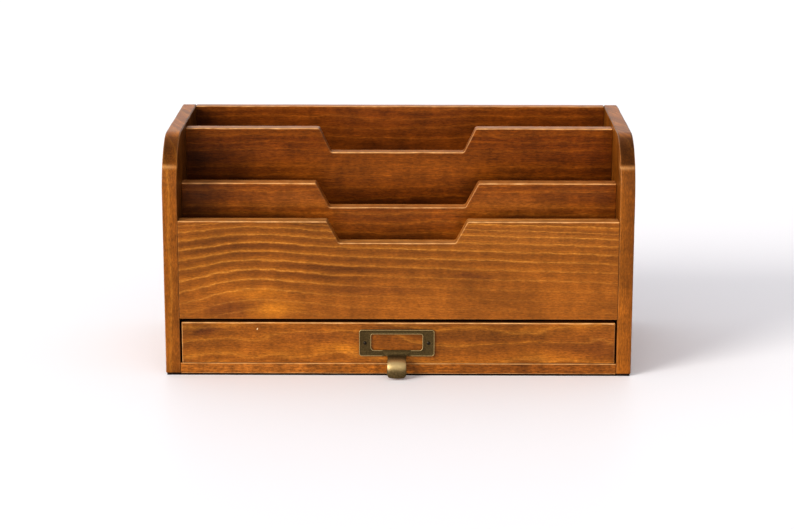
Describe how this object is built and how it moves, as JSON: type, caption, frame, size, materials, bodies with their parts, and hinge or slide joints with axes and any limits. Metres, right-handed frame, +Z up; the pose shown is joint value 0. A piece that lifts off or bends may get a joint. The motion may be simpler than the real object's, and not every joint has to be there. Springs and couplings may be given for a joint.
{
  "type": "desk organizer",
  "caption": "Stained wooden letter rack with stepped, notched dividers between rounded sides, over a shallow drawer that slides forward by a brass label-frame pull.",
  "frame": {"origin": "on the table, under the middle of the case's footprint, in the felt sheet's lower face", "axes": "+Z up, +X along the width, -Y towards the drawer's front"},
  "size_m": [0.33, 0.1668, 0.169],
  "materials": {
    "stained_pine": "stained and lacquered, satin to gloss",
    "plain_dowel": "bare",
    "drawer_sheet": "thin plywood, lightly stained",
    "antique_brass": "dark antique patina, worn bright on the tongue",
    "brown_felt": "pressed felt",
    "steel_brad": "dull"
  },
  "bodies": {
    "case": {"left_side_panel": "stained_pine", "right_side_panel": "stained_pine", "back_panel": "stained_pine", "rear_divider": "stained_pine", "middle_divider": "stained_pine", "front_panel": "stained_pine", "slot_floor": "stained_pine", "base_board": "stained_pine", "felt_sheet": "brown_felt", "case_dowels": "plain_dowel", "back_brads": "steel_brad"},
    "drawer": {"drawer_front": "stained_pine", "drawer_left_side": "stained_pine", "drawer_right_side": "stained_pine", "drawer_back": "stained_pine", "drawer_bottom": "drawer_sheet", "drawer_dowels": "plain_dowel", "drawer_brads": "steel_brad", "label_pull": "antique_brass", "pull_pins": "antique_brass"}
  },
  "joints": [
    {"name": "drawer_slide", "type": "slide", "parent": "case", "child": "drawer", "axis": [0, -1, 0], "range_m": [0, 0.11]}
  ]
}
